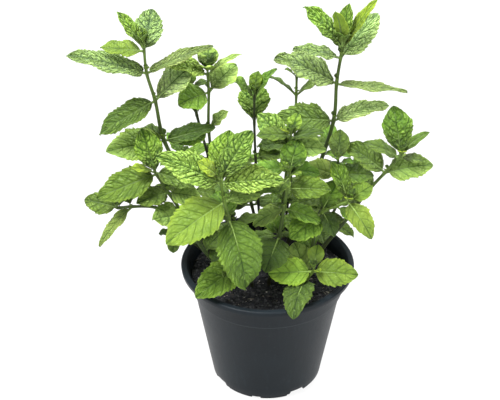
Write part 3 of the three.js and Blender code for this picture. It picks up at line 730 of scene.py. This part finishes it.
def leaf_surface(name, under):
    """Living leaf: pillows with painted highlights, sunken veins darkened partly by painted shade, a soft
    sheen. Light shines through.
    """
    finish = Finish(name)
    tint = finish.stored("tint")[0]
    marks = finish.stored("marks")
    place = finish.node("ShaderNodeUVMap", {"uv_map": "blade"})[0]
    across = finish.node("ShaderNodeSeparateXYZ", {}, {0: place})[0]
    quilt, relief, crest_highlight = finish.node("ShaderNodeSeparateColor", {}, {0: marks[0]})
    vein = finish.stored("vein")[2]
    along = marks[3]
    net = {"feature": "DISTANCE_TO_EDGE", "voronoi_dimensions": "2D"}
    fine = finish.node("ShaderNodeTexVoronoi", net, {"Vector": place, "Scale": 62})[0]
    mottle = finish.noise(place, scale=16, detail=3)
    from_lateral = abs(finish.math("PINGPONG", vein, 0.5))
    # The thin lateral lines are the veins' own colour, darker on deeply quilted leaves as painted shade; the
    # trough round them is painted shade in their grooves.
    lateral = finish.spread(from_lateral, 0, 0.045, 1, 0)
    trough_shade = finish.spread(from_lateral, 0.03, 0.17, 1, 0)
    # Dark in the valleys between the pillows: partly the veins' own colour, partly painted shade in the
    # creases, stronger on deeper quilting.
    valley_shade = finish.spread(quilt, 0.02, 0.24, 1, 0)
    # dark serves both the veins' own colour and the painted shade in the valleys and grooves.
    dark = finish.blend(1, tint, paint(168, 182, 140) if under else paint(92, 132, 62), "MULTIPLY")
    # pale is the midrib's own pale colour, and on the pillows' crests a painted highlight.
    pale = finish.blend(0.62, tint, paint(200, 238, 112))
    colour = finish.blend(finish.spread(quilt, 0.9 - crest_highlight, 1.3 - crest_highlight) * relief * 0.65, tint, pale)
    patchy = finish.spread(finish.noise(place, scale=14), 0.4, 0.62)
    colour = finish.blend(valley_shade * relief * relief * patchy, colour, dark)
    colour = finish.blend(trough_shade * relief * 0.45, colour, dark)
    colour = finish.blend(lateral * (0.3 + relief * 0.7), colour, dark)
    colour = finish.blend(finish.spread(fine, 0, 0.12, 0.2, 0), colour, dark)
    colour = finish.blend(finish.spread(mottle, 0.45, 0.75, 0, 0.3), colour, dark)
    from_rib = abs(across - 0.5)
    colour = finish.blend(finish.spread(from_rib, 0.003, 0.01, 0.85, 0), colour, dark)
    rib = finish.spread(from_rib, 0.002, 0.008, 1, 0) * finish.spread(along, 0.05, 0.6, 1, 0)
    colour = finish.blend(rib * (1 - relief * 0.9), colour, pale)
    if under:
        colour = finish.blend(0.35, colour, paint(160, 190, 96))
    height = quilt * relief * 0.8 + finish.spread(fine, 0, 0.25) * 0.12 - lateral * 0.25
    roughness = 0.58 - quilt * 0.2
    bumps = finish.bump(height, distance=(0.4 if under else 1.9) * MM)
    wax = {"Sheen Weight": 0.04, "Sheen Roughness": 0.5, "Normal": bumps}
    skin = finish.surface(colour, roughness, 0.25 if under else 0.5, wax)
    glow = finish.blend(0.35, colour, paint(178, 206, 50))
    through = finish.node("ShaderNodeBsdfTranslucent", {}, {"Color": glow})[0]
    mixed = finish.node("ShaderNodeMixShader", {}, {0: 0.3, 1: skin, 2: through})[0]
    return finish.show(mixed)


def stem_skin():
    """Square stems and leaf ribs: fine stripes along them, a soft sheen, each with its own painted tint."""
    finish = Finish("stem_skin")
    place = finish.node("ShaderNodeTexCoord")[3]
    tint = finish.stored("tint")[0]
    stripes = finish.noise(finish.stretched(place, (1, 1, 0.08)), scale=900)
    blotches = finish.noise(place, scale=120, detail=3)
    dark = finish.blend(1, tint, paint(120, 104, 96), "MULTIPLY")
    colour = finish.blend(finish.spread(stripes, 0.4, 0.7, 0, 0.4), tint, dark)
    colour = finish.blend(finish.spread(blotches, 0.5, 0.75, 0, 0.5), colour, dark)
    roughness = 0.42 + blotches * 0.2
    bumps = finish.bump(stripes + blotches, distance=0.08 * MM)
    return finish.show(finish.surface(colour, roughness, 0.3, {"Sheen Weight": 0.05, "Normal": bumps}))


LEAF_TOP = leaf_surface("leaf_top", under=False)
LEAF_UNDER = leaf_surface("leaf_under", under=True)
STEM_SKIN = stem_skin()


def unit(vector):
    return vector / np.linalg.norm(vector, axis=-1, keepdims=True)


def half_width(share, young):
    """Half the width of a blade that is one wide, at a share of its length."""
    base = YOUNG_BASE if young else GROWN_BASE
    widest = base / (base + TAPER)
    return 0.5 * (share / widest) ** base * ((1 - share) / (1 - widest)) ** TAPER


def is_young(shape):
    """Steep leaves at a tip and small ones are young, and broadest nearer their middle."""
    return shape["pitch"] > YOUNG_PITCH or shape["length"] < SMALL


def leaf_axes(shape):
    """The leaf's direction, its right-hand side and its upper side."""
    h, p, r = (math.radians(shape[key]) for key in ("heading", "pitch", "roll"))
    along = np.array([math.cos(h) * math.cos(p), math.sin(h) * math.cos(p), math.sin(p)])
    level = np.array([math.sin(h), -math.cos(h), 0])
    upright = np.cross(level, along)
    right = level * math.cos(r) + upright * math.sin(r)
    return along, right, upright * math.cos(r) - level * math.sin(r)


def on_leaf(shape, base, share, out, height=0):
    """Points of a leaf at shares of its length, distances from the midrib and heights over its fold."""
    along, right, up = leaf_axes(shape)
    length, bow, fold = shape["length"], shape["bow"], math.radians(FOLD)
    share, out = np.atleast_1d(share)[:, None], np.atleast_1d(out)[:, None]
    face = unit(up - along * (4 * bow * (1 - 2 * share) / length))
    spine = base + along * length * share + up * 4 * bow * share * (1 - share)
    lift = np.abs(out) * math.sin(fold) + np.atleast_1d(height)[:, None]
    return spine + right * out * math.cos(fold) + face * lift


def turned(shape, scale, yaw, lift, tilt):
    """The leaf made smaller and turned to the side, up and about its midrib."""
    changed = dict(shape)
    for angle, change in (("heading", yaw), ("pitch", lift), ("roll", tilt)):
        changed[angle] = shape[angle] + change
    for size in ("length", "width", "bow"):
        changed[size] = shape[size] * scale
    return changed


# What a solid leaf tried, in this order, until it was clear of its neighbours.
SCALES = (1, 0.93, 0.85, 0.76)
YAWS = (0, 7, -7, 14, -14, 24, -24)
LIFTS = (0, 6, -6, 13, -13, 22, -22)
TILTS = (0, 14, -14, 30, -30)
SAME_PLACE = 0.05


def as_grown(shape, base, corners):
    """The leaf with the turn that its solid took, found by its tip and first teeth. None if it has none."""
    turns = [turned(shape, scale, yaw, lift, 0) for scale in SCALES for yaw in YAWS for lift in LIFTS]
    tips = np.array([base + leaf_axes(one)[0] * one["length"] for one in turns])
    misses = np.array([np.linalg.norm(corners - tip, axis=1).min() for tip in tips])
    if misses.min() > SAME_PLACE:
        return None
    found = turns[int(misses.argmin())]
    length = found["length"]
    tooth = next(FIRST_TOOTH[size] for size in FIRST_TOOTH if length >= size)
    share = STALK_LENGTH / length + (1 - STALK_LENGTH / length) * tooth
    best = []
    for tilt in TILTS:
        one = turned(found, 1, 0, 0, tilt)
        out = one["width"] * TOOTH_OUT * half_width(tooth, is_young(one))
        teeth = on_leaf(one, base, [share, share], [out, -out])
        miss = sum(np.linalg.norm(corners - point, axis=1).min() for point in teeth)
        best.append((miss, tilt, one))
    return min(best, key=lambda entry: entry[:2])[2]


# A flat blade sheet for each size of leaf, as columns across and rows along it.
SHEET_SIZES = {LARGE: (42, 72), MIDDLE: (30, 50), SMALL: (18, 30), 0: (6, 12)}
BLADE_MAP = 60


def blade_sheet(columns, rows):
    """A flat sheet, one wide and one long, that every leaf of its size is copied from."""
    select()
    bpy.ops.mesh.primitive_grid_add(x_subdivisions=columns, y_subdivisions=rows, size=2)
    sheet = bpy.context.object
    mesh = sheet.data
    mesh.uv_layers[0].name = "blade"
    mesh.materials.append(LEAF_TOP)
    mesh.materials.append(LEAF_UNDER)
    flat = points_of(mesh)
    loops = np.empty(len(mesh.loops), np.int32)
    mesh.loops.foreach_get("vertex_index", loops)
    bpy.data.objects.remove(sheet)
    return {"mesh": mesh, "across": flat[:, 0], "along": (flat[:, 1] + 1) / 2, "loops": loops}


SHEETS = {size: blade_sheet(*sizes) for size, sizes in SHEET_SIZES.items()}


def scatter(first, second, key):
    """A number from 0 to 1 of its own for every pair of whole numbers."""
    return np.modf(np.abs(np.sin(first * 12.9898 + second * 78.233 + key * 37.719)) * 43758.5453)[0]


def soft_step(value, low, high):
    share = np.clip((value - low) / (high - low), 0, 1)
    return share * share * (3 - 2 * share)


def pillows(row, column, key, domed):
    """Height of the pillows between a net of veins, from 0 in a vein to 1, with its cells in loose rows."""
    row, column = row + 0.3 * np.sin(column * 1.9 + key), column + 0.35 * np.sin(row * 2.3 + key * 2)
    nearest, second, own = np.full(row.shape, 9.0), np.full(row.shape, 9.0), np.ones(row.shape)
    for i in (-1, 0, 1):
        for j in (-1, 0, 1):
            r, c = np.floor(row) + i, np.floor(column) + j
            far = np.hypot(
                row - r - 0.5 - 0.8 * (scatter(r, c, key) - 0.5),
                column - c - 0.5 - 0.85 * (scatter(c, r, key + 5) - 0.5),
            )
            second = np.minimum(second, np.maximum(nearest, far))
            own = np.where(far < nearest, scatter(r, c, key + 11), own)
            nearest = np.minimum(nearest, far)
    return soft_step(second - nearest, 0, domed) * (0.6 + 0.4 * own)


# A blade's outline, teeth, veins, pillows, waves and shades, in millimetres or as shares of its size.
BLUNT_TIP = 0.5
STALK_HALF = 0.75
TIP_HALF = 0.12
TOOTH_SPACING = 4.3
LEAST_TEETH = 4
GROWN_TOOTH = 1.6
VEIN_SPACING = 7.5
LEAST_VEINS = 4
VEIN_SLANT = 0.3
CELLS_ALONG = 9
LEAST_CELL = 2.6
PILLOW_HEIGHT = 1.5
EDGE_WAVE = 0.05
BROAD_WAVE = 0.03
GROOVE_DEPTH = 0.4
GROOVE_WIDTH = 0.7
RUFFLE = 0.35
DROOP = 0.035
DROOP_FROM = 0.55
YOUNG_SHADOW, YOUNG_FADE = 0.78, 1.6
GROWN_SHADOW, GROWN_FADE = 0.28, 3
CLOUDED = [0.2, 0.15, 0.2]
PALE_RIM = [0.36, 0.26, 0.1]


def leaf_blade(shape, base, draw):
    """One blade, copied from its flat sheet and cut to its outline, quilted, folded, waved and arched."""
    length, width, young = shape["length"], shape["width"], is_young(shape)
    sheet = SHEETS[next(size for size in SHEETS if length >= size)]
    u, v = sheet["across"], sheet["along"]
    colour, relief, crest_highlight = LOOKS[shape["look"]]
    reach, side, key = np.abs(u), np.sign(u), draw.random() * 40

    # Its outline and teeth.
    half = width * half_width(np.clip(v, 0, 1), young)
    if not young:
        half = half * (1 + BLUNT_TIP * v**6)
    half = np.maximum(half, STALK_HALF * (1 - v) + TIP_HALF)
    teeth = max(LEAST_TEETH, length / TOOTH_SPACING)
    phase = v * teeth + 0.3 * np.sin(v * 15 + side * 2 + key) + 0.3 * side
    tooth = np.floor(phase)
    size = min(1, width / 24) * (1 if young else GROWN_TOOTH) * (0.55 + 0.9 * scatter(tooth, side, key))
    bite = size * np.sin(np.pi * np.clip(v, 0.03, 0.97)) ** 0.7
    out = side * (reach * half + reach**4 * bite * (phase - tooth - 0.6))
    start = STALK_LENGTH / length
    share = start + (1 - start) * v

    # Its slanting veins and the pillows between them.
    slant = VEIN_SLANT * reach**1.3
    veins = max(LEAST_VEINS, length / VEIN_SPACING)
    lateral = (v - slant + 0.015 * np.sin(reach * 9 + side + key) * reach) * veins
    cell = max(LEAST_CELL, length / CELLS_ALONG)
    column = side * np.hypot(out, slant * length) / cell
    quilt = pillows(lateral * 2 + 60, column + 60, key, 0.55 if young else 0.36)
    quilt = quilt * (0.35 + 0.65 * soft_step(np.abs(np.sin(lateral * np.pi)), 0, 0.4))
    quilt = quilt * soft_step(np.abs(out), 0.2, 1.5)

    # Its heights over the fold.
    swell = relief * PILLOW_HEIGHT * min(1, width / 22) * quilt * (1 - 0.6 * reach**4)
    turns = v * (1.9 + draw.random()) + 0.3 * side
    waves = np.sin(math.tau * turns + key) * reach**2.5 * width * EDGE_WAVE
    rounding = -0.5 * half * reach**2 * math.sin(math.radians(FOLD))
    groove = -GROOVE_DEPTH * np.exp(-((out / GROOVE_WIDTH) ** 2)) * (1 - v)
    ruffle = RUFFLE * (scatter(tooth, side, key + 9) - 0.5) * reach**6 * min(1, width / 20)
    droop = -DROOP * length * np.clip(v - DROOP_FROM, 0, 1) ** 2 * 5 * (0.4 + draw.random())
    broad = BROAD_WAVE * width * np.sin(v * 10 + side * 1.7 + key) * np.sin(u * 3.4 + key * 3) * reach
    height = swell + broad + waves + rounding + groove + ruffle + droop
    places = on_leaf(shape, base, share, out, height)
    mesh = sheet["mesh"].copy()
    mesh.vertices.foreach_set("co", (places * MM).ravel())
    uv = np.stack([out / BLADE_MAP + 0.5, share * length / BLADE_MAP], axis=1)[sheet["loops"]]
    mesh.uv_layers["blade"].data.foreach_set("uv", uv.ravel())

    # Its tint: painted shadow darkens the foot, young leaves most; pale at the rim and clouded in between.
    tint = np.array(paint(*colour)) * (0.9 + 0.2 * draw.random()) * [0.93 + 0.14 * draw.random(), 1, 1]
    rim = soft_step(reach, 0.7, 0.95)[:, None]
    foot = np.clip(1 - v * (YOUNG_FADE if young else GROWN_FADE), 0, 1)[:, None]
    cloudy = (np.sin(v * 5 + u * 2.2 + key) * np.sin(u * 3 - v * 4 + key * 2))[:, None]
    shadow = 1 - (YOUNG_SHADOW if young else GROWN_SHADOW) * foot
    tints = tint * shadow * (1 + cloudy * CLOUDED) * (1 + rim * PALE_RIM)
    solid = np.ones(len(v))
    store(mesh, "tint", np.column_stack([tints, solid]))
    # The marks hold the quilting, its depth, the strength of its painted crest highlight and the share along
    # the blade.
    store(mesh, "marks", np.column_stack([quilt, relief * solid, crest_highlight * solid, v]))
    store(mesh, "vein", lateral)
    return mesh


def stem_line(nodes):
    """The stem's centre line: upright in the soil, then one smooth curve through its nodes."""
    spots = np.array([node[:3] for node in nodes], float)
    ends = [2 * spots[0] - spots[1], *spots, 2 * spots[-1] - spots[-2]]
    line = [np.array([*spots[0][:2], z]) for z in (SOIL_TOP - ROOT_DEPTH, SOIL_TOP + COLLAR)]
    shares = [0, FOOT_SHARE]
    for i in range(len(spots) - 1):
        p0, p1, p2, p3 = ends[i : i + 4]
        t0 = 0
        t1, t2, t3 = np.cumsum([math.sqrt(np.linalg.norm(b - a)) for a, b in ((p0, p1), (p1, p2), (p2, p3))])
        steps = max(2, round(np.linalg.norm(p2 - p1) / STEM_STEP))
        for k in range(1, steps + 1):
            t = t1 + (t2 - t1) * k / steps
            a1 = p0 + (p1 - p0) * (t - t0) / (t1 - t0)
            a2 = p1 + (p2 - p1) * (t - t1) / (t2 - t1)
            a3 = p2 + (p3 - p2) * (t - t2) / (t3 - t2)
            b1 = a1 + (a2 - a1) * (t - t0) / (t2 - t0)
            b2 = a2 + (a3 - a2) * (t - t1) / (t3 - t1)
            point = b1 + (b2 - b1) * (t - t1) / (t2 - t1)
            if point[2] > SOIL_TOP + COLLAR + CURVE_FROM:
                line.append(point)
                shares.append((i + k / steps) / (len(spots) - 1))
    rise = TIP_BUD + PAIR_RISE * ((len(nodes[-1]) - 3) / 2 - 1)
    line.append(line[-1] + unit(line[-1] - line[-2]) * rise)
    return np.array(line), np.array([*shares, END_SHARE])


# The section of stems and ribs is a square with rounded corners and slightly hollow sides.
SECTION_POINTS = 12
SECTION_CORNER = 0.18
select()
bpy.ops.curve.primitive_bezier_circle_add(radius=1)
section = bpy.context.object
section.data.splines.clear()
ring = section.data.splines.new("POLY")
ring.points.add(SECTION_POINTS - 1)
ring.use_cyclic_u = True
for index, point in enumerate(ring.points):
    turn = math.tau * index / SECTION_POINTS
    reach = 1 + SECTION_CORNER * math.cos(4 * (turn - math.tau / 8))
    point.co = (reach * math.cos(turn), reach * math.sin(turn), 0, 1)


def drawn(name, lines, tint_of):
    """Tubes of the square section along lines of points with a half side each, as one mesh with a tint."""
    curve = bpy.data.curves.new(name, "CURVE")
    curve.dimensions = "3D"
    curve.bevel_mode = "OBJECT"
    curve.bevel_object = section
    curve.use_fill_caps = True
    for points, sides in lines:
        spline = curve.splines.new("POLY")
        spline.points.add(len(points) - 1)
        spline.points.foreach_set("co", np.hstack([points * MM, np.ones((len(points), 1))]).ravel())
        spline.points.foreach_set("radius", np.array(sides) * MM)
    piece = put(name, curve)
    select(piece)
    bpy.ops.object.convert(target="MESH")
    mesh = piece.data
    tints = tint_of(points_of(mesh) / MM)
    store(mesh, "tint", np.hstack([tints, np.ones((len(tints), 1))]))
    mesh.materials.append(STEM_SKIN)
    return piece


# A stem's tints at its foot, its middle and its tip.
STEM_TINTS = {
    "bright": ((46, 46, 26), (60, 79, 28), (98, 126, 42)),
    "green": ((44, 42, 26), (62, 82, 30), (80, 104, 36)),
    "deep": ((40, 36, 26), (52, 60, 28), (76, 102, 36)),
    "dusky": ((22, 20, 13), (25, 29, 12), (52, 66, 24)),
}
RIB_POINTS = 9
RIB_END = 0.86
RIB_SUNK = 0.35
NODE_SWELLING = 0.28
NODE_SPREAD = 2.4
TIP_CORE_SHADE = 6
TIP_BUDS = ((20, "shade"), (110, "fresh"), (200, "bottle"), (290, "shade"))


def build_shoot(name, tone, thickness, nodes, draw):
    """One shoot: its leaves with their ribs, the buds at its nodes and tip, and its stem, as one piece."""
    corners = points_of(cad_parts["shoot_" + name].data) / MM
    blades, ribs = [], []

    def add_leaf(shape, base):
        blades.append(leaf_blade(shape, base, draw))
        share = np.linspace(0, RIB_END, RIB_POINTS)
        rib = on_leaf(shape, base, share, np.zeros(RIB_POINTS), -RIB_SUNK - 0.1 * (1 - share))
        size = min(1, shape["length"] / 26)
        ribs.append((rib, (0.72 * (1 - share) ** 0.8 + 0.1) * size))

    for below, node in zip(nodes, nodes[1:]):
        spot = np.array(node[:3], float)
        climb = unit(spot - np.array(below[:3], float))
        for index, shape in enumerate(node[3:]):
            base = spot + climb * PAIR_RISE * (index // 2)
            grown = as_grown(shape, base, corners)
            if grown:
                add_leaf(grown, base)
        first = node[3]["heading"] if len(node) > 3 else 0
        if node is not nodes[-1]:
            for turn in (90, 270):
                bud = leaf(first + turn, 48 + 14 * draw.random(), 5 + 4 * draw.random(), look="fresh")
                add_leaf(bud, spot + climb * 0.8)
    line, shares = stem_line(nodes)
    vigour = 1.5 if "tall" in name else 1
    for turn, look in TIP_BUDS:
        size = (6.5 + 3 * draw.random()) * vigour
        bud = leaf(turn + 30 * draw.random(), 56 + 20 * draw.random(), size, 0.7 * size, look=look)
        add_leaf(bud, line[-2] + (line[-1] - line[-2]) * 0.7)
    sides = (thickness + (STEM_TOP - thickness) * shares) / 2
    for node in nodes[1:]:
        away = np.linalg.norm(line - node[:3], axis=1)
        sides = sides + NODE_SWELLING * np.exp(-((away / NODE_SPREAD) ** 2))
    sides[-1] *= 0.6
    stem_tone = "dusky" if "dark" in name else tone
    foot, middle, tip = (np.array(paint(*tint)) for tint in STEM_TINTS[stem_tone])
    height = nodes[-1][2] - SOIL_TOP

    def stem_tint(places):
        share = np.clip((places[:, 2:] - SOIL_TOP) / height, 0, 1)
        low, high = np.clip(share / 0.5, 0, 1), np.clip((share - 0.5) / 0.5, 0, 1)
        from_tip = np.linalg.norm(places - line[-1], axis=1)[:, None]
        # Painted shade: the stem darkens towards its tip, in the crowded core of young leaves.
        core_shade = 0.3 + 0.7 * soft_step(from_tip, TIP_CORE_SHADE / 4, TIP_CORE_SHADE)
        return ((foot * (1 - low) + middle * low) * (1 - high) + tip * high) * core_shade

    stem = drawn("stem", [(line, sides)], stem_tint)
    rib_tint = np.array(paint(132, 160, 76) if tone == "bright" else paint(104, 130, 60))
    rib_piece = drawn("ribs", ribs, lambda places: np.tile(rib_tint, (len(places), 1)))
    leaves = [put("blade", mesh) for mesh in blades]
    select(*leaves)
    bpy.ops.object.join()
    shoot = leaves[0]
    shoot.name = "mint_" + name
    finish_with(shoot, "SOLIDIFY", thickness=BLADE_THICKNESS * MM, offset=0, material_offset=1, use_rim=True)
    select(shoot, stem, rib_piece)
    bpy.ops.object.join()
    smooth(shoot, below=55)
    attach(shoot, "root")
    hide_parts("shoot_" + name)
    "foliage_" + tone


for index, (name, (tone, thickness, nodes)) in enumerate(SHOOTS.items()):
    build_shoot(name, tone, thickness, nodes, np.random.default_rng(100 + index))
bpy.data.objects.remove(section)

# The plain pale floor, soft studio light and the camera, which looks down at the plant from the front. The
# floor glows a little, so that it stays as pale as the photograph's backdrop.
FLOOR_SIZE = 40
FLOOR_GLOW = 0.88
bpy.ops.mesh.primitive_plane_add(size=FLOOR_SIZE)
floor = bpy.context.object
floor.name = "floor"
pale = Finish("pale_floor")
glow = {"Emission Color": (1, 1, 1), "Emission Strength": FLOOR_GLOW}
floor.data.materials.append(pale.show(pale.surface((0.12, 0.12, 0.12), 0.9, 0.1, glow)))

SKY_STRENGTH = 0.64
world = bpy.data.worlds.new("studio")
world.use_nodes = True
sky = world.node_tree.nodes["Background"].inputs
sky["Color"].default_value = (1, 1, 1, 1)
sky["Strength"].default_value = SKY_STRENGTH
bpy.context.scene.world = world

PLANT_MIDDLE = Vector((0, 0, 0.15))
for name, place, size, power in (
    ("key", (-0.62, -0.35, 1.5), 0.8, 54),
    ("fill", (0.9, -0.9, 1.0), 1.0, 12),
    ("back", (0.55, 0.7, 1.3), 0.6, 16),
):
    lamp = bpy.data.lights.new(name, "AREA")
    lamp.shape, lamp.size, lamp.energy = "DISK", size, power
    soft_box = put(name, lamp)
    soft_box.location = place
    soft_box.rotation_euler = (PLANT_MIDDLE - Vector(place)).to_track_quat("-Z", "Y").to_euler()

CAMERA_RISE = math.radians(31.93)
CAMERA_DISTANCE = 0.9427
CAMERA_TARGET = Vector((-0.01319, 0, 0.15404))
LENS = 93
SENSOR = 36
bpy.ops.object.camera_add()
camera = bpy.context.object
camera.data.lens = LENS
camera.data.sensor_width = SENSOR
from_front = Vector((0, -math.cos(CAMERA_RISE), math.sin(CAMERA_RISE)))
camera.location = CAMERA_TARGET + CAMERA_DISTANCE * from_front
camera.rotation_euler = (math.pi / 2 - CAMERA_RISE, 0, 0)
bpy.context.scene.camera = camera
bpy.context.scene.view_settings.view_transform = "Standard"
